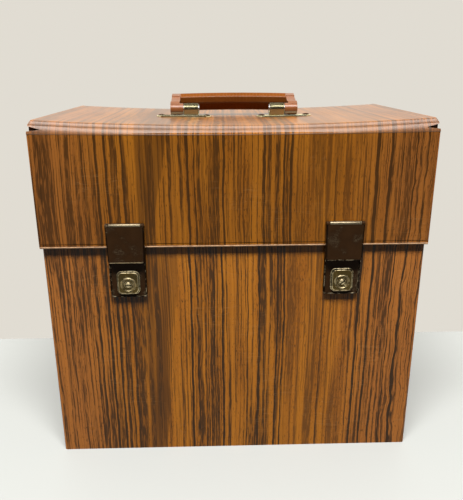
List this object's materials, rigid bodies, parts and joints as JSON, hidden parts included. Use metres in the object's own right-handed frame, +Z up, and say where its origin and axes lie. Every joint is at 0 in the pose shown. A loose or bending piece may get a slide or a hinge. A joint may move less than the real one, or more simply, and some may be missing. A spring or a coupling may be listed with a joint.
{
  "type": "record carrying case",
  "caption": "Upright record carrying case of covered board with a hinged top, a front flap, hasp latches with sliding key-lock buttons and a swinging handle.",
  "frame": {"origin": "centre of the base's underside", "axes": "+Z up, front towards -Y, +X to the right seen from the front"},
  "size_m": [0.3564, 0.2156, 0.3496],
  "materials": {
    "woodgrain_covering": "board covered in semi-gloss woodgrain vinyl",
    "lining_paper": "matt lining paper",
    "vinyl_binding": "satin soft vinyl sheet",
    "bronzed_steel": "dark bronze lacquer, worn at the edges",
    "plain_steel": "plain plated steel",
    "aged_brass": "aged brass plating",
    "handle_moulding": "gloss moulded plastic"
  },
  "bodies": {
    "box": {"base_board": "woodgrain_covering", "front_panel": "woodgrain_covering", "back_panel": "woodgrain_covering", "left_side_panel": "woodgrain_covering", "right_side_panel": "woodgrain_covering", "base_lining": "lining_paper", "front_lining": "lining_paper", "back_lining": "lining_paper", "left_side_lining": "lining_paper", "right_side_lining": "lining_paper", "mouth_binding": "vinyl_binding", "rear_hinge_strip": "vinyl_binding", "left_lock_plate": "bronzed_steel", "left_lock_back_plate": "plain_steel", "left_lock_spring": "plain_steel", "left_lock_clench_plate": "plain_steel", "right_lock_plate": "bronzed_steel", "right_lock_back_plate": "plain_steel", "right_lock_spring": "plain_steel", "right_lock_clench_plate": "plain_steel"},
    "lid": {"top_panel": "woodgrain_covering", "top_lining": "lining_paper", "front_hinge_strip": "vinyl_binding", "front_hinge_cover": "woodgrain_covering", "left_handle_plate": "aged_brass", "right_handle_plate": "aged_brass", "left_handle_loop": "aged_brass", "right_handle_loop": "aged_brass", "handle_rivets": "bronzed_steel", "handle_backing_plates": "plain_steel"},
    "handle": {"handle_grip": "handle_moulding", "handle_pins": "plain_steel"},
    "flap": {"flap_panel": "woodgrain_covering", "flap_lining": "lining_paper", "flap_margin": "vinyl_binding", "left_hasp_base": "bronzed_steel", "left_hasp_pin": "bronzed_steel", "left_hasp_rivets": "plain_steel", "left_hasp_washers": "plain_steel", "right_hasp_base": "bronzed_steel", "right_hasp_pin": "bronzed_steel", "right_hasp_rivets": "plain_steel", "right_hasp_washers": "plain_steel"},
    "left_hasp": {"left_hasp_cover": "bronzed_steel", "left_hasp_tongue": "plain_steel"},
    "left_button": {"left_lock_button": "aged_brass", "left_lock_bolt": "plain_steel"},
    "left_plug": {"left_key_plug": "aged_brass"},
    "right_hasp": {"right_hasp_cover": "bronzed_steel", "right_hasp_tongue": "plain_steel"},
    "right_button": {"right_lock_button": "aged_brass", "right_lock_bolt": "plain_steel"},
    "right_plug": {"right_key_plug": "aged_brass"}
  },
  "joints": [
    {"name": "lid_hinge", "type": "hinge", "parent": "box", "child": "lid", "pos_m": [0, 0.1036, 0.3293], "axis": [-1, 0, 0], "range_deg": [0, 240], "deforming": ["rear_hinge_strip"]},
    {"name": "flap_hinge", "type": "hinge", "parent": "lid", "child": "flap", "pos_m": [0, -0.1044, 0.33], "axis": [-1, 0, 0], "range_deg": [0, 150], "deforming": ["front_hinge_strip", "front_hinge_cover"]},
    {"name": "handle_swing", "type": "hinge", "parent": "lid", "child": "handle", "pos_m": [0.002, -0.012, 0.3356], "axis": [1, 0, 0], "range_deg": [0, 153]},
    {"name": "left_hasp_hinge", "type": "hinge", "parent": "flap", "child": "left_hasp", "pos_m": [-0.0996, -0.1093, 0.242], "axis": [-1, 0, 0], "range_deg": [0, 145]},
    {"name": "left_button_slide", "type": "slide", "parent": "box", "child": "left_button", "axis": [-1, 0, 0], "range_m": [0, 0.004], "stiffness_N_per_m": 200, "springref_m": -0.002, "deforming": ["left_lock_spring"]},
    {"name": "left_key_turn", "type": "hinge", "parent": "left_button", "child": "left_plug", "pos_m": [-0.0996, -0.109, 0.1851], "axis": [0, 1, 0], "range_deg": [0, 90]},
    {"name": "right_hasp_hinge", "type": "hinge", "parent": "flap", "child": "right_hasp", "pos_m": [0.0996, -0.1093, 0.242], "axis": [-1, 0, 0], "range_deg": [0, 145]},
    {"name": "right_button_slide", "type": "slide", "parent": "box", "child": "right_button", "axis": [1, 0, 0], "range_m": [0, 0.004], "stiffness_N_per_m": 200, "springref_m": -0.002, "deforming": ["right_lock_spring"]},
    {"name": "right_key_turn", "type": "hinge", "parent": "right_button", "child": "right_plug", "pos_m": [0.0996, -0.109, 0.1851], "axis": [0, 1, 0], "range_deg": [0, 90]}
  ]
}
